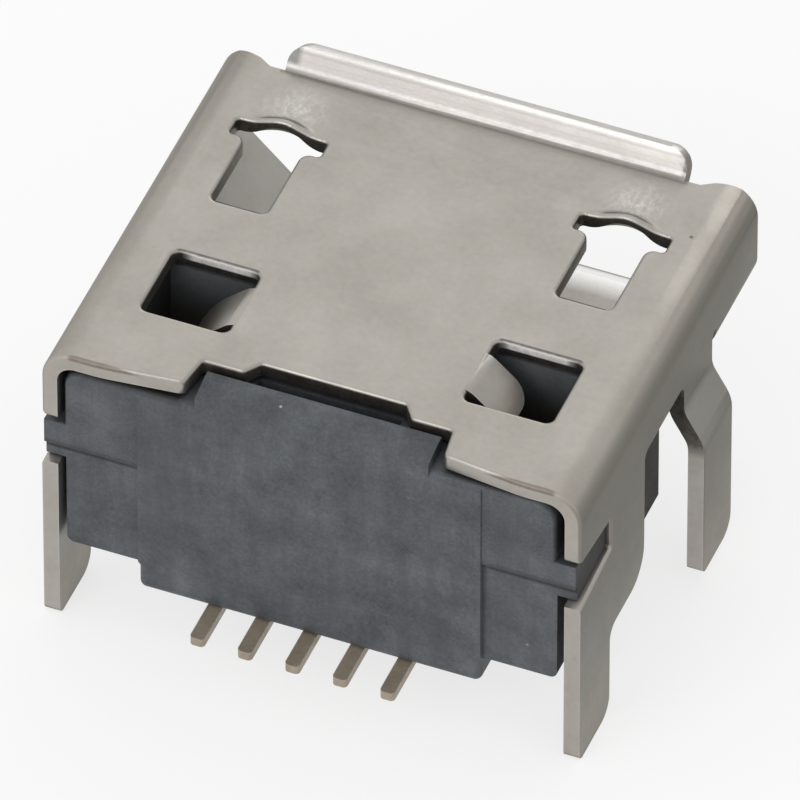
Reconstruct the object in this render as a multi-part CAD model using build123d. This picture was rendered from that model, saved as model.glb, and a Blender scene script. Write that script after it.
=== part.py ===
from build123d import *
import math
import os

# Raised micro usb socket for a circuit board: folded shell, moulded housing, five contacts.
# X runs across, +Y points out of the mouth, Z = 0 is the board's upper face, Y = 0 the shell's rear edge.
# Every size is in millimetres. A drop is a depth below the shell's outer roof face.

# Sheet and mouth
sheet = 0.22
roof_height = 3.90
mouth_width = 6.90
mouth_height = 1.85
mouth_floor_inset = 0.80
bevel_angle = 45.0
top_bend = 0.25
bevel_bend = 0.20
shell_length = 6.10
stamp_radius = 0.05
rolled_edge = 0.06

# Shell side walls and rear legs
arch_drop = 1.17
shoulder_length = 2.20
shoulder_drop = 3.22
shoulder_radius = 0.45
rear_leg_width = 1.03
rear_leg_reach = 0.73
leg_root_radius = 0.20
leg_rear_radius = 0.12
leg_front_radius = 0.27

# Joggled front legs
front_leg_start = 3.56
front_leg_width = 0.97
front_leg_reach = 0.55
joggle_offset = 0.28
joggle_start_drop = 1.69
joggle_end_drop = 2.19
joggle_bend = 0.50
bevel_slit = 0.15

# Rib slots in the side walls
slot_length = 1.09
slot_rear_top_drop = 1.17
slot_rear_bottom_drop = 1.95
slot_corner_radius = 0.10
slot_taper = 0.13

# Rear edge of the roof
recess_mouth_width = 3.52
recess_width = 3.38
recess_depth = 0.58
deep_recess_width = 1.96
deep_recess_depth = 0.80
deep_recess_flare = 0.16
recess_corner_radius = 0.08
tab_slant = 0.12
tab_slant_inset = 0.60
tab_blend_radius = 2.00
tab_corner_radius = 0.10

# Rear windows and the holding tabs bent down into the housing
rear_window_inset = 0.65
rear_window_width = 1.20
rear_window_start = 1.155
rear_window_end = 2.32
window_radius = 0.11
hold_tab_start = 1.32
hold_tab_end = 2.04
hold_tab_reach = 0.71
hold_tab_hinge = 0.02
hold_tab_angle = 42.0
hold_tab_bend = 0.06
hold_tab_radius = 0.30

# Latch windows with a raised front edge
latch_inset = 1.095
latch_body_width = 0.77
latch_head_width = 1.24
latch_start = 3.35
latch_head_start = 4.59
latch_end = 4.87
latch_neck_radius = 0.15
bump_radius = 0.685
bump_rise = 0.38
bump_crown_share = 0.72
bump_setback = 0.40
bump_edge = 0.055

# Flared lips of the roof and the floor at the mouth, and the relief beside the upper one
lip_inset = 0.71
lip_length = 0.44
lip_angle = 60.0
lip_setback = 0.12
lip_bend = 0.08
lip_radius = 0.28
relief_inset = 0.50
relief_slant = 0.17
relief_depth = 0.195
ear_setback = 0.09
floor_lip_inset = 0.35
seam_gap = 0.04
dovetail_width = 0.36
dovetail_depth = 0.30
dovetail_flare = 0.08
dovetail_y = 5.00

# Moulded housing
side_gap = 0.10
roof_gap = 0.08
housing_shift = -0.04
housing_rear = 0.03
housing_front = 3.62
floor_gap = 0.12
side_bottom = 0.52
foot_width = 4.68
foot_length = 2.60
housing_top_radius = 0.28
housing_edge = 0.10
mould_radius = 0.04
side_face_step = 0.02
ledge_drop = 1.66
ledge_step = 0.07
block_side_gap = 0.10
block_front_gap = 0.07
block_drop = 0.08
block_chamfer_length = 0.36
block_chamfer_drop = 0.17
groove_depth = 0.45
rib_reach = 0.17
rib_clearance = 0.03
rib_top_clearance = 0.09
pocket_depth = 1.00
pocket_margin = 0.03

# Tongue and contacts
tongue_width = 3.30
tongue_thickness = 0.60
tongue_drop = 0.55
tongue_length = 1.58
tongue_chamfer = 0.12
contact_sheet = 0.13
contact_pitch = 0.65
contact_width = 0.30
tail_width = 0.20
tail_length = 0.56
tail_radius = 0.06
riser_y = 0.70
contact_bend = 0.18
beam_proud = 0.04
beam_setback = 0.30
contact_names = ["ground", "id", "data_plus", "data_minus", "power"]

# Derived levels and places
inner_half = mouth_width / 2
outer_half = inner_half + sheet
roof_inner = roof_height - sheet
floor_inner = roof_inner - mouth_height
floor_half = inner_half - mouth_floor_inset
bevel_top = floor_inner + (inner_half - floor_half) * math.tan(math.radians(bevel_angle))
rear_window_outer = inner_half - rear_window_inset
rear_window_inner = rear_window_outer - rear_window_width
latch_x = inner_half - latch_inset
relief_half = inner_half - relief_inset
lip_width = 2 * (inner_half - lip_inset)
floor_lip_width = 2 * (floor_half - floor_lip_inset)
arch_z = roof_height - arch_drop
bevel_start = front_leg_start + front_leg_width + bevel_slit
housing_half = inner_half - side_gap
housing_top = roof_inner - roof_gap
foot_bottom = contact_sheet
tongue_top = roof_height - tongue_drop
tongue_bottom = tongue_top - tongue_thickness
clear = 1.0


def outline(points, radii=0.0):
    """Closed flat outline with a radius for all its corners, or one for each."""
    return make_face(FilletPolyline(*points, radius=radii, close=True))


def mirrored(points):
    """Outline points of a right half, followed by their mirror images on the left."""
    return points + [(-x, y) for x, y in reversed(points)]


def along_x(face, low, high):
    """Extrude a side outline, drawn as (Y, Z), from X = low to X = high."""
    return extrude(Plane.YZ.offset(low) * face, amount=high - low)


def along_y(face, low, high):
    """Extrude a front outline, drawn as (X, Z), from Y = low to Y = high."""
    return extrude(Plane.XZ.offset(-low) * face, amount=low - high)


def along_z(face, low, high):
    """Extrude a plan outline, drawn as (X, Y), from Z = low to Z = high."""
    return extrude(Plane.XY.offset(low) * face, amount=high - low)


def strip(points, radii, thickness):
    """Section of a bent sheet that follows a path with rounded bends."""
    return trace(FilletPolyline(*points, radius=radii), thickness)


def both_sides(solid):
    """A solid of the right side together with its mirror image."""
    return solid + mirror(solid, about=Plane.YZ)


def through_roof(face):
    """Punch for the roof plate alone, from an outline in plan."""
    return along_z(face, roof_inner - sheet / 4, roof_height + clear)


def mouth_section(grow):
    """Section of the mouth, grown by the sheet for its outer face."""
    corner = grow * math.tan(math.radians(bevel_angle / 2))
    half = [
        (inner_half + grow, roof_inner + grow),
        (inner_half + grow, bevel_top - corner),
        (floor_half + corner, floor_inner - grow),
    ]
    radii = [top_bend + grow, bevel_bend + grow, bevel_bend + grow]
    return outline(mirrored(half), radii + radii[::-1])


def roof_and_walls():
    """Roof with both walls and rear legs, folded from one sheet, up to the mouth."""
    low = -rear_leg_reach - clear
    outer_bend = top_bend + sheet
    outer_corners = mirrored([(outer_half, roof_height), (outer_half, low)])
    inner_corners = mirrored([(inner_half, roof_inner), (inner_half, low - clear)])
    outer = outline(outer_corners, [outer_bend, 0, 0, outer_bend])
    inner = outline(inner_corners, [top_bend, 0, 0, top_bend])
    channel = along_y(outer, 0, bevel_start) - along_y(inner, -clear, bevel_start + clear)
    shoulder = roof_height - shoulder_drop
    side = [
        (0, roof_height + clear),
        (0, -rear_leg_reach),
        (rear_leg_width, -rear_leg_reach),
        (rear_leg_width, shoulder),
        (shoulder_length, shoulder),
        (shoulder_length, arch_z),
        (bevel_start, arch_z),
        (bevel_start, roof_height + clear),
    ]
    radii = [0, leg_rear_radius, leg_front_radius, leg_root_radius, shoulder_radius, leg_rear_radius, 0, 0]
    return channel & along_x(outline(side, radii), -outer_half - clear, outer_half + clear)


def mouth():
    """The closed part of the shell round the mouth, with its floor reaching back to the housing."""
    ring = along_y(mouth_section(sheet), bevel_start, shell_length)
    ring -= along_y(mouth_section(0), bevel_start - clear, shell_length + clear)
    floor = Pos(0, (housing_front + floor_gap + bevel_start) / 2 + sheet / 2, floor_inner - sheet / 2)
    floor *= Box(2 * floor_half, bevel_start - housing_front - floor_gap + sheet, sheet)
    return ring + floor


def front_leg():
    """Right front leg: the wall runs on down, steps outward in an S and ends below the board."""
    middle = inner_half + sheet / 2
    path = [
        (middle, arch_z + sheet),
        (middle, roof_height - joggle_start_drop),
        (middle + joggle_offset, roof_height - joggle_end_drop),
        (middle + joggle_offset, -front_leg_reach),
    ]
    end = front_leg_start + front_leg_width
    blank = along_y(strip(path, joggle_bend, sheet), front_leg_start - 2 * sheet, end + 2 * sheet)
    side = [
        (front_leg_start - 2 * sheet, arch_z + sheet),
        (front_leg_start - 2 * sheet, arch_z),
        (front_leg_start, arch_z),
        (front_leg_start, -front_leg_reach),
        (end, -front_leg_reach),
        (end, arch_z),
        (end + 2 * sheet, arch_z),
        (end + 2 * sheet, arch_z + sheet),
    ]
    radii = [0, 0, leg_rear_radius, leg_rear_radius, leg_front_radius, bevel_slit / 2, 0, 0]
    return blank & along_x(outline(side, radii), 0, outer_half + clear)


def rib_slots():
    """Tapered slots, open to the rear, that take the ribs of the housing."""
    top = roof_height - slot_rear_top_drop
    bottom = roof_height - slot_rear_bottom_drop
    slope = slot_taper / slot_length
    points = [
        (-clear, top + clear * slope),
        (slot_length, top - slot_taper),
        (slot_length, bottom + slot_taper),
        (-clear, bottom - clear * slope),
    ]
    radii = [0, stamp_radius, stamp_radius, 0]
    return along_x(outline(points, radii), -outer_half - clear, outer_half + clear)


def is_slot_corner(place):
    """Tell whether a point is on the rear corner of a wall just above a rib slot."""
    level = roof_height - slot_rear_top_drop
    return abs(place.Y) < sheet / 20 and abs(place.Z - level) < sheet / 20


def rear_edge():
    """Punch for the rear edge of the roof: two slanted tabs beside a recess with a deeper middle."""
    half = [
        (outer_half + clear, -clear),
        (outer_half + clear, 0),
        (inner_half - tab_slant_inset, 0),
        (recess_mouth_width / 2, tab_slant),
        (recess_width / 2, recess_depth),
        (deep_recess_width / 2 + deep_recess_flare, recess_depth),
        (deep_recess_width / 2, deep_recess_depth),
    ]
    bends = [tab_corner_radius, stamp_radius, recess_corner_radius, stamp_radius]
    radii = [0, 0, tab_blend_radius] + bends
    return through_roof(outline(mirrored(half), radii + radii[::-1]))


def rear_window():
    """Punch for the right rear window."""
    points = [
        (rear_window_inner, rear_window_start),
        (rear_window_outer, rear_window_start),
        (rear_window_outer, rear_window_end),
        (rear_window_inner, rear_window_end),
    ]
    return through_roof(outline(points, window_radius))


def hold_tab():
    """Right holding tab, hinged on the inner edge of its window and bent down."""
    middle = roof_height - sheet / 2
    angle = math.radians(hold_tab_angle)
    hinge = rear_window_inner - hold_tab_hinge
    end = (hinge + hold_tab_reach * math.cos(angle), middle - hold_tab_reach * math.sin(angle))
    section = strip([(hinge - sheet, middle), (hinge, middle), end], hold_tab_bend + sheet / 2, sheet)
    tab = along_y(section, hold_tab_start, hold_tab_end)
    straight = tab.edges().filter_by(GeomType.LINE)
    corners = straight.filter_by(lambda edge: abs(edge.length - sheet) < sheet / 20)
    free = corners.sort_by(Axis.X)[-2:].sort_by(Axis.Y)
    return fillet(free[-1], hold_tab_radius)


def latch_window():
    """Punch for the right latch window: a T with a narrow body and a wide head."""
    body = latch_body_width / 2
    head = latch_head_width / 2
    points = [
        (latch_x - body, latch_start),
        (latch_x + body, latch_start),
        (latch_x + body, latch_head_start),
        (latch_x + head, latch_head_start),
        (latch_x + head, latch_end),
        (latch_x - head, latch_end),
        (latch_x - head, latch_head_start),
        (latch_x - body, latch_head_start),
    ]
    radii = [window_radius, window_radius, latch_neck_radius] + 4 * [stamp_radius] + [latch_neck_radius]
    return through_roof(outline(points, radii))


def ahead_of_latch(solid):
    """What a solid on the axis has ahead of the right latch window, once its axis is set behind the front edge."""
    front = Pos(latch_x, latch_end + clear, 0) * Box(4 * clear, 2 * clear, 4 * roof_height)
    return Pos(latch_x, latch_end - bump_setback, 0) * solid & front


def latch_bump():
    """Dish of sheet that raises the front edge of the right latch window and runs out smoothly round it."""
    slope = math.atan2(bump_rise, bump_radius)
    bow = math.hypot(bump_radius, bump_rise) * math.tan(slope / 2) / 2
    bow_out = bow * math.sin(slope)
    bow_up = bow * math.cos(slope)
    share = bump_crown_share
    rest = 1 - share
    turn_x = share * bump_radius
    turn_z = rest * bump_rise
    crown_x = turn_x / 2 + share * bow_out
    crown_z = (bump_rise + turn_z) / 2 + share * bow_up
    foot_x = (turn_x + bump_radius) / 2 - rest * bow_out
    foot_z = turn_z / 2 - rest * bow_up
    sides = []
    for level in (roof_height, roof_inner):
        turn = (turn_x, level + turn_z)
        sides.append(ThreePointArc((0, level + bump_rise), (crown_x, level + crown_z), turn))
        sides.append(ThreePointArc(turn, (foot_x, level + foot_z), (bump_radius, level)))
    sides.append(Line((0, roof_inner + bump_rise), (0, roof_height + bump_rise)))
    sides.append(Line((bump_radius, roof_inner), (bump_radius, roof_height)))
    dish = ahead_of_latch(revolve(Plane.XZ * make_face(Curve() + sides), Axis.Z))
    step = sheet / 20
    rim = dish.edges().filter_by_position(Axis.Y, latch_end - step, latch_end + step)
    return fillet(rim.filter_by(lambda edge: edge.center().Z > roof_height + step), bump_edge)


def bump_hole():
    """Hole in the roof that the dished sheet fills."""
    return ahead_of_latch(Pos(0, 0, roof_height) * Cylinder(bump_radius, 3 * sheet))


def front_relief():
    """Punch for the front edge of the roof: rounded corners and a relief on each side of the lip."""
    half = [
        (outer_half + clear, shell_length + clear),
        (outer_half + clear, shell_length),
        (inner_half, shell_length),
        (relief_half + relief_slant, shell_length - ear_setback),
        (relief_half, shell_length - relief_depth),
    ]
    radii = [0, 0, 2 * stamp_radius, 2 * stamp_radius, stamp_radius]
    return along_z(outline(mirrored(half), radii + radii[::-1]), roof_inner - top_bend, roof_height + clear)


def lip_gap(width, middle):
    """Space in the front edge of the roof or the floor where a lip starts."""
    bend = (lip_bend + sheet / 2) * math.tan(math.radians(lip_angle / 2))
    start = shell_length - lip_setback - bend
    return Pos(0, start + clear / 2, middle) * Box(width, clear, 2 * sheet)


def lip(width, sense, middle):
    """Flared lip of the mouth: up at the roof, down at the floor."""
    angle = math.radians(lip_angle)
    bend = lip_bend + sheet / 2
    corner = shell_length - lip_setback
    end = (corner + lip_length * math.cos(angle), middle + sense * lip_length * math.sin(angle))
    section = strip([(corner - bend - sheet, middle), (corner, middle), end], bend, sheet)
    blank = along_x(section, -width / 2, width / 2)
    straight = blank.edges().filter_by(GeomType.LINE)
    corners = straight.filter_by(lambda edge: abs(edge.length - sheet) < sheet / 20)
    return fillet(corners.sort_by(Axis.Y)[-2:], lip_radius)


def floor_seam():
    """Seam in the middle of the floor where both edges of the blank meet in a dovetail."""
    near = dovetail_y - dovetail_depth / 2
    far = dovetail_y + dovetail_depth / 2
    points = [
        (0, housing_front),
        (0, near),
        (dovetail_width, near - dovetail_flare),
        (dovetail_width, far + dovetail_flare),
        (0, far),
        (0, shell_length + clear),
    ]
    return along_z(strip(points, seam_gap, seam_gap), side_bottom, floor_inner + sheet)


def punched_edges(shell):
    """Upper edges that the punch rounds: those of the windows, and the rear edge of the roof."""
    step = sheet / 20
    edges = []
    for face in shell.faces():
        if abs(face.normal_at().Z) < step:
            edges += face.edges().filter_by_position(Axis.Z, roof_height - step, roof_height + step)
    return [edge for edge in edges if edge.center().Y < latch_end + step]


def make_shell():
    """The whole shell, one folded and stamped sheet."""
    shell = roof_and_walls() + mouth() + both_sides(front_leg())
    shell -= rib_slots()
    corners = shell.edges().filter_by(Axis.X).filter_by(lambda edge: is_slot_corner(edge.center()))
    shell = fillet(corners, slot_corner_radius)
    shell -= rear_edge()
    shell -= both_sides(rear_window() + latch_window())
    shell = fillet(punched_edges(shell), rolled_edge)
    shell -= both_sides(bump_hole())
    shell += both_sides(latch_bump())
    shell -= front_relief()
    roof_middle = roof_height - sheet / 2
    floor_middle = floor_inner - sheet / 2
    shell -= lip_gap(lip_width, roof_middle) + lip_gap(floor_lip_width, floor_middle)
    shell += lip(lip_width, 1, roof_middle)
    shell += lip(floor_lip_width, -1, floor_middle)
    shell -= floor_seam()
    shell += both_sides(hold_tab())
    return shell


def housing_body():
    """Main block of the housing with its foot."""
    half = [
        (housing_half, housing_top),
        (housing_half, side_bottom),
        (foot_width / 2, side_bottom),
        (foot_width / 2, foot_bottom),
    ]
    radii = [housing_top_radius, housing_edge, mould_radius, housing_edge]
    body = along_y(outline(mirrored(half), radii + radii[::-1]), housing_rear, housing_front)
    rear = body.faces().sort_by(Axis.Y)[0]
    body = fillet(rear.outer_wire().edges(), housing_edge)
    under = Pos(0, (foot_length + housing_front + clear) / 2, side_bottom / 2)
    body -= under * Box(foot_width + clear, housing_front + clear - foot_length, side_bottom)
    return body


def side_faces():
    """Cuts that set back the rear faces beside the middle, less above the ledge than below it."""
    width = housing_half + clear - foot_width / 2
    middle = (housing_half + clear + foot_width / 2) / 2
    ledge = roof_height - ledge_drop
    cut = Box(width, 2 * clear, 4 * roof_height)
    face = Pos(middle, housing_rear + side_face_step - clear, 0) * cut
    lower = Pos(middle, housing_rear + side_face_step + ledge_step - clear, ledge - 2 * roof_height) * cut
    return both_sides(face + lower)


def middle_block():
    """Block that stands in the recess of the roof, with a long chamfer to the rear."""
    front = recess_depth - block_front_gap
    top = roof_height - block_drop
    points = [
        (housing_rear, housing_top - sheet),
        (housing_rear, roof_height - block_chamfer_drop),
        (housing_rear + block_chamfer_length, top),
        (front, top),
        (front, housing_top - sheet),
    ]
    half = recess_width / 2 - block_side_gap
    block = along_x(outline(points, [0, mould_radius, mould_radius, mould_radius, 0]), -half, half)
    block = Pos(-housing_shift, 0, 0) * block
    groove = Pos(0, (front + deep_recess_depth) / 2, housing_top - groove_depth / 2)
    return block, groove * Box(deep_recess_width, deep_recess_depth - front, groove_depth + sheet)


def rib():
    """Right rib that sits in its slot of the shell."""
    slope = slot_taper / slot_length
    top = roof_height - slot_rear_top_drop - rib_top_clearance
    bottom = roof_height - slot_rear_bottom_drop + rib_clearance
    start = housing_rear
    end = slot_length - rib_clearance
    points = [
        (start, top - start * slope),
        (end, top - end * slope),
        (end, bottom + end * slope),
        (start, bottom + start * slope),
    ]
    return along_x(outline(points, mould_radius), housing_half - sheet, inner_half + rib_reach)


def pocket():
    """Right pocket under a rear window, deep enough for the holding tab."""
    width = rear_window_outer - rear_window_inner + 2 * pocket_margin
    length = rear_window_end - rear_window_start + 2 * pocket_margin
    centre = Pos(
        (rear_window_inner + rear_window_outer) / 2,
        (rear_window_start + rear_window_end) / 2,
        housing_top - pocket_depth / 2 + clear / 2,
    )
    return centre * Box(width, length, pocket_depth + clear)


def hinge_relief():
    """Slope beside the right pocket that leaves room for the bend of the holding tab."""
    points = [
        (rear_window_inner - sheet / 2, housing_top + clear),
        (rear_window_inner - sheet / 2, housing_top - sheet / 4),
        (rear_window_inner + sheet, housing_top - 2 * sheet),
        (rear_window_inner + sheet, housing_top + clear),
    ]
    return along_y(outline(points), hold_tab_start - pocket_margin, hold_tab_end + pocket_margin)


def tongue():
    """Tongue that carries the contacts in the mouth."""
    tip = housing_front + tongue_length
    points = [
        (housing_front - sheet, tongue_top),
        (tip, tongue_top),
        (tip, tongue_bottom),
        (housing_front - sheet, tongue_bottom),
    ]
    side = outline(points)
    blade = along_x(side, -tongue_width / 2, tongue_width / 2)
    front = blade.faces().sort_by(Axis.Y)[-1]
    return chamfer(front.edges(), tongue_chamfer)


def make_contact(x):
    """One contact: tail on the board, riser in the housing, beam under the tongue."""
    tail_z = contact_sheet / 2
    beam_z = tongue_bottom - beam_proud + contact_sheet / 2
    beam_end = housing_front + tongue_length - beam_setback
    path = [(-tail_length, tail_z), (riser_y, tail_z), (riser_y, beam_z), (beam_end, beam_z)]
    blank = along_x(strip(path, contact_bend, contact_sheet), -contact_width / 2, contact_width / 2)
    plan = [
        (tail_width / 2, -tail_length),
        (tail_width / 2, housing_rear + contact_bend),
        (contact_width / 2, housing_rear + 2 * contact_bend),
        (contact_width / 2, beam_end),
    ]
    radii = [tail_radius, 0, 0, tail_radius]
    cut = along_z(outline(mirrored(plan), radii + radii[::-1]), -clear, roof_height)
    return Pos(x, 0, 0) * (blank & cut)


def make_housing(contacts):
    """The whole housing, with a channel for each contact."""
    block, groove = middle_block()
    housing = housing_body() + both_sides(rib()) - side_faces() + block - groove
    housing += tongue()
    housing -= both_sides(pocket() + hinge_relief())
    for contact in contacts:
        housing -= contact
    return housing


def seated(solid):
    """A solid of the insert, moved to where it sits in the shell."""
    return Pos(housing_shift, 0, 0) * solid


contact_count = len(contact_names)
places = [(index - (contact_count - 1) / 2) * contact_pitch for index in range(contact_count)]
contacts = [make_contact(x) for x in places]

os.makedirs("parts", exist_ok=True)
export_step(make_shell(), "parts/shell.step")
export_step(seated(make_housing(contacts)), "parts/housing.step")
for name, contact in zip(contact_names, contacts):
    export_step(seated(contact), "parts/contact_" + name + ".step")
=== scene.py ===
"""Raised micro usb socket: studio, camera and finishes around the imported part.

Lengths are in metres; the effects and the marks count in millimetres. X runs to the right seen from the
rear, +Y points out of the mouth, and Z = 0 is the upper face of the circuit board that the tails lie on.
"""

import logging
import math
from dataclasses import dataclass
from enum import Enum

import bpy
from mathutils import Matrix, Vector


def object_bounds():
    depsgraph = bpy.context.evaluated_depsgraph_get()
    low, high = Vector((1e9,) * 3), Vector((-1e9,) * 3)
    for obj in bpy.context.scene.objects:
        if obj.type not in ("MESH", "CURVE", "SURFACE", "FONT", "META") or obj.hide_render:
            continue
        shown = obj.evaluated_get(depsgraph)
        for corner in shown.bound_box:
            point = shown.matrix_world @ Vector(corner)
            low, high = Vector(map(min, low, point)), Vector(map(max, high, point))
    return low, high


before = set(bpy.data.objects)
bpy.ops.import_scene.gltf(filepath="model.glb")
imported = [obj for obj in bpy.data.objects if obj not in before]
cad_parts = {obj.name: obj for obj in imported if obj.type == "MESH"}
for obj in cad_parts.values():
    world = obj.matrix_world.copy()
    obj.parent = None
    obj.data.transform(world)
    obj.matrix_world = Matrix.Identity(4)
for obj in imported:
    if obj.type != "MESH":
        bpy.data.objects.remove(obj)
cad_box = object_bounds()

MM = 0.001
PER_MM = 1.0 / MM
log = logging.getLogger("socket")

# Places of the Mix node's colour sockets, whose names are also those of its sockets for numbers.
MIX_FIRST, MIX_SECOND, MIX_RESULT = 6, 7, 2

Colour = tuple[float, float, float, float]
Triple = tuple[float, float, float]
Socket = bpy.types.NodeSocket
Value = Socket | float | Colour


def tone(red: float, green: float, blue: float) -> Colour:
    """Opaque linear colour from its three parts."""
    return (red, green, blue, 1.0)


def towards(azimuth: float, elevation: float) -> Vector:
    """Unit vector from the socket towards a place given by two angles.

    Args:
        azimuth: angle in degrees; 0 is behind the socket and 90 is on its right.
        elevation: angle above the board in degrees.

    Returns:
        The direction as a vector of length one.
    """
    turn = math.radians(azimuth)
    rise = math.radians(elevation)
    return Vector((math.sin(turn) * math.cos(rise), -math.cos(turn) * math.cos(rise), math.sin(rise)))


def hang(name: str, data: bpy.types.ID, away: Vector, distance: float, target: Vector) -> bpy.types.Object:
    """Put a lamp or a camera at a distance from its target, turned to face it.

    Args:
        name: name of the object.
        data: the lamp or the camera.
        away: unit vector from the target to the object.
        distance: how far the object is from the target.
        target: point that the object faces.

    Returns:
        The new object.
    """
    holder = bpy.data.objects.new(name, data)
    bpy.context.scene.collection.objects.link(holder)
    holder.location = target + away * distance
    holder.rotation_mode = "QUATERNION"
    holder.rotation_quaternion = (-away).to_track_quat("-Z", "Y")
    return holder


class Wiring:
    """Small helper that adds and joins nodes of one node tree."""

    def __init__(self, tree: bpy.types.NodeTree) -> None:
        """Keep the tree that the nodes go into."""
        self.tree = tree

    def add(self, kind: str, **settings: object) -> bpy.types.Node:
        """Add a node.

        Args:
            kind: Blender's identifier of the node's type.
            settings: properties of the node and their values.

        Returns:
            The new node.
        """
        node = self.tree.nodes.new(kind)
        for name, value in settings.items():
            setattr(node, name, value)
        return node

    def join(self, source: Socket, target: Socket) -> None:
        """Link an output to an input."""
        self.tree.links.new(source, target)

    def feed(self, target: Socket, value: Value) -> None:
        """Link an output to an input, or set the input to a plain value.

        Args:
            target: the input.
            value: the output, number or colour that it gets.
        """
        if isinstance(value, Socket):
            self.join(value, target)
        else:
            target.default_value = value

    def maths(self, operation: str, first: Value, second: Value = 0.0, clamp: bool = False) -> Socket:
        """Add a Math node.

        Args:
            operation: the operation's identifier.
            first: output or number for the first input.
            second: output or number for the second input.
            clamp: keep the result between 0 and 1.

        Returns:
            The node's output.
        """
        node = self.add("ShaderNodeMath", operation=operation, use_clamp=clamp)
        self.feed(node.inputs[0], first)
        self.feed(node.inputs[1], second)
        return node.outputs[0]

    def times(self, first: Value, second: Value) -> Socket:
        """Product of two values."""
        return self.maths("MULTIPLY", first, second)

    def between(self, first: Value, second: Value, share: Value) -> Socket:
        """Value between two others, where the share is that of the second one."""
        return self.maths("ADD", first, self.times(self.maths("SUBTRACT", second, first), share))

    def blend(self, factor: Value, first: Value, second: Value) -> Socket:
        """Mix two colours.

        Args:
            factor: share of the second colour.
            first: output or colour shown at 0.
            second: output or colour shown at 1.

        Returns:
            The mixed colour.
        """
        node = self.add("ShaderNodeMix", data_type="RGBA")
        self.feed(node.inputs["Factor"], factor)
        self.feed(node.inputs[MIX_FIRST], first)
        self.feed(node.inputs[MIX_SECOND], second)
        return node.outputs[MIX_RESULT]

    def span(self, value: Value, low: Value, high: Value, to_low: Value = 0.0, to_high: Value = 1.0) -> Socket:
        """Map a value from one range to another, without leaving it.

        Args:
            value: output that is mapped.
            low: start of the range that is read.
            high: end of the range that is read.
            to_low: result at the start.
            to_high: result at the end.

        Returns:
            The mapped value.
        """
        node = self.add("ShaderNodeMapRange")
        for place, item in enumerate((value, low, high, to_low, to_high)):
            self.feed(node.inputs[place], item)
        return node.outputs[0]

    def dot(self, first: Socket, second: Value | Vector) -> Socket:
        """Add a Vector Math node that multiplies two vectors to one number.

        Args:
            first: output with the first vector.
            second: output or plain vector for the second one.

        Returns:
            The number.
        """
        node = self.add("ShaderNodeVectorMath", operation="DOT_PRODUCT")
        self.join(first, node.inputs[0])
        self.feed(node.inputs[1], second)
        return node.outputs["Value"]

    def parts(self, vector: Socket) -> bpy.types.bpy_prop_collection:
        """Three outputs X, Y and Z of a vector.

        Args:
            vector: output with the vector.

        Returns:
            The outputs, by their names.
        """
        node = self.add("ShaderNodeSeparateXYZ")
        self.join(vector, node.inputs[0])
        return node.outputs


class Effect(Enum):
    """Shared surface effects, each one node group."""

    MOTTLE = "mottle"
    GRAIN = "grain"
    SPECKS = "specks"
    EDGE = "edge"
    CREVICE = "crevice"
    CUT_FACE = "cut_face"
    STRETCH = "stretch"
    DRAG = "drag"
    SLAB = "slab"
    FACING = "facing"
    DOT = "dot"


def spaced(name: str) -> str:
    """Name of a group's input from a Python name."""
    return name.replace("_", " ")


class Group(Wiring):
    """Node group with number inputs and one number output."""

    def __init__(self, effect: Effect, output: str = "Mask", **inputs: float) -> None:
        """Start the group.

        Args:
            effect: the effect that the group makes.
            output: name of its output.
            inputs: default of each input, with an underscore for a space.
        """
        super().__init__(bpy.data.node_groups.new(effect.value, "ShaderNodeTree"))
        for name, default in inputs.items():
            socket = self.tree.interface.new_socket(
                name=spaced(name), in_out="INPUT", socket_type="NodeSocketFloat"
            )
            socket.default_value = default
        self.tree.interface.new_socket(name=output, in_out="OUTPUT", socket_type="NodeSocketFloat")
        self.given = self.add("NodeGroupInput").outputs
        self.result = self.add("NodeGroupOutput").inputs[0]

    def end(self, value: Socket) -> bpy.types.NodeTree:
        """Join the result to the group's output.

        Args:
            value: the result.

        Returns:
            The group's node tree.
        """
        self.join(value, self.result)
        return self.tree

    def places(self, stretch: Triple = (1.0, 1.0, 1.0)) -> Socket:
        """Coordinates on the socket in millimetres.

        Args:
            stretch: factor along each axis.

        Returns:
            The coordinates.
        """
        mapping = self.add("ShaderNodeMapping")
        mapping.inputs["Scale"].default_value = [PER_MM * part for part in stretch]
        self.join(self.add("ShaderNodeTexCoord").outputs["Object"], mapping.inputs["Vector"])
        return mapping.outputs["Vector"]

    def normal(self) -> Socket:
        """Direction that the surface faces."""
        return self.add("ShaderNodeNewGeometry").outputs["Normal"]

    def noise(self, places: Socket, scale: Value, detail: float, rough: float) -> Socket:
        """Noise value at the given places.

        Args:
            places: the coordinates.
            scale: patches per millimetre.
            detail: number of finer layers.
            rough: share of each finer layer.

        Returns:
            The noise value.
        """
        node = self.add("ShaderNodeTexNoise")
        self.join(places, node.inputs["Vector"])
        self.feed(node.inputs["Scale"], scale)
        node.inputs["Detail"].default_value = detail
        node.inputs["Roughness"].default_value = rough
        return node.outputs["Fac"]

    def direction(self) -> Socket:
        """Vector that the group's X, Y and Z inputs give.

        Returns:
            The vector.
        """
        node = self.add("ShaderNodeCombineXYZ")
        for axis in "XYZ":
            self.join(self.given[axis], node.inputs[axis])
        return node.outputs[0]

    def fold(self, vector: Socket) -> Socket:
        """Vector whose X is turned positive where the group's Fold input is 1.

        Args:
            vector: output with the vector.

        Returns:
            The folded vector.
        """
        part = self.parts(vector)
        folded = self.add("ShaderNodeCombineXYZ")
        positive = self.maths("ABSOLUTE", part["X"])
        self.join(self.between(part["X"], positive, self.given["Fold"]), folded.inputs["X"])
        for axis in "YZ":
            self.join(part[axis], folded.inputs[axis])
        return folded.outputs[0]


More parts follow.
